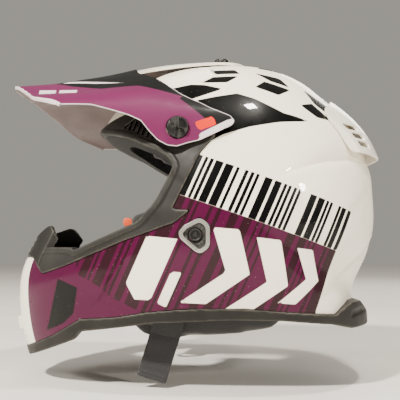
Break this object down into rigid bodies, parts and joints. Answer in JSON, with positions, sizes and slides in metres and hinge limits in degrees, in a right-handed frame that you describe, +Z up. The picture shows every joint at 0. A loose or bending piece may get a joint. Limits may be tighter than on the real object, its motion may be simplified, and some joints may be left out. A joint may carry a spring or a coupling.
{
  "type": "motocross helmet",
  "caption": "Off-road helmet: hard shell with chin bar, open eye port, tilting screwed-on peak, foam and fabric lining, and a webbing chin strap closed by two steel rings.",
  "frame": {"origin": "middle of the head cavity, on the middle plane, at the level of the wearer's ears", "axes": "+Z up through the crown, -Y towards the front of the helmet, +X towards the wearer's left"},
  "size_m": [0.25, 0.3544, 0.3042],
  "materials": {
    "painted_shell": "gloss lacquer over white with black and plum graphics",
    "painted_peak": "satin moulded plum with black and white graphics",
    "black_rubber": "matt soft black",
    "foam": "matt moulded bead foam",
    "lining": "brushed knit over soft foam",
    "black_plastic": "fine grained moulding",
    "silver_plastic": "satin silver",
    "steel": "zinc plated",
    "webbing": "woven nylon",
    "orange_tab": "woven tab"
  },
  "bodies": {
    "helmet": {"outer_shell": "painted_shell", "rear_spoiler": "painted_shell", "chin_vent_cover": "painted_shell", "eye_port_trim": "black_rubber", "nose_guard": "black_rubber", "rim_trim": "black_rubber", "crown_foam": "foam", "chin_foam": "foam", "crown_pad": "lining", "neck_roll": "lining", "cheek_pad_left": "lining", "cheek_pad_right": "lining", "mouth_grille": "black_plastic", "exhaust_grille": "black_plastic", "brow_louvre_left": "black_plastic", "brow_louvre_right": "black_plastic", "cheek_pad_base_left": "black_plastic", "cheek_pad_base_right": "black_plastic", "badge_dish_left": "black_plastic", "badge_dish_right": "black_plastic", "badge_button_left": "black_plastic", "badge_button_right": "black_plastic", "badge_bezel_left": "silver_plastic", "badge_bezel_right": "silver_plastic", "strap_rivet_left": "steel", "strap_rivet_right": "steel", "side_insert_left": "steel", "side_insert_right": "steel", "top_insert": "steel", "strap_upper_left": "webbing", "strap_upper_right": "webbing", "release_tab_left": "orange_tab", "release_tab_right": "orange_tab"},
    "peak": {"peak": "painted_peak", "side_washer_left": "black_plastic", "side_washer_right": "black_plastic"},
    "side_screw_left": {"side_screw_left": "black_plastic"},
    "side_screw_right": {"side_screw_right": "black_plastic"},
    "top_washer": {"top_washer": "black_plastic"},
    "top_screw": {"top_screw": "black_plastic"},
    "strap_free_end": {"strap_free_end": "webbing"},
    "d_ring_outer": {"d_ring_outer": "steel"},
    "d_ring_inner": {"d_ring_inner": "steel"}
  },
  "joints": [
    {"name": "peak_tilt", "type": "hinge", "parent": "helmet", "child": "peak", "pos_m": [0, -0.054, 0.073], "axis": [1, 0, 0], "range_deg": [0, 5]},
    {"name": "side_screw_left_turn", "type": "hinge", "parent": "helmet", "child": "side_screw_left", "pos_m": [0.117, -0.054, 0.073], "axis": [1, 0, 0], "continuous": true},
    {"name": "side_screw_right_turn", "type": "hinge", "parent": "helmet", "child": "side_screw_right", "pos_m": [-0.117, -0.054, 0.073], "axis": [-1, 0, 0], "continuous": true},
    {"name": "top_washer_rise", "type": "slide", "parent": "helmet", "child": "top_washer", "axis": [0, 0, 1], "range_m": [0, 0.00485]},
    {"name": "top_screw_turn", "type": "hinge", "parent": "top_washer", "child": "top_screw", "pos_m": [0, -0.014, 0.16], "axis": [0, 0, 1], "continuous": true},
    {"name": "strap_free_end_swing", "type": "hinge", "parent": "helmet", "child": "strap_free_end", "pos_m": [0.0707, -0.06645, -0.101], "axis": [0, 0.9553, -0.2955], "range_deg": [-25, 45]},
    {"name": "d_ring_outer_swing", "type": "hinge", "parent": "helmet", "child": "d_ring_outer", "pos_m": [-0.0707, -0.06645, -0.101], "axis": [0, 0.9553, -0.2955], "range_deg": [0, 45]},
    {"name": "d_ring_inner_swing", "type": "hinge", "parent": "helmet", "child": "d_ring_inner", "pos_m": [-0.0707, -0.06645, -0.101], "axis": [0, 0.9553, -0.2955], "range_deg": [-30, 0]}
  ],
  "couplings": [
    {"joint": "top_washer_rise", "follows": "peak_tilt", "m_per_rad": 0.054431}
  ]
}
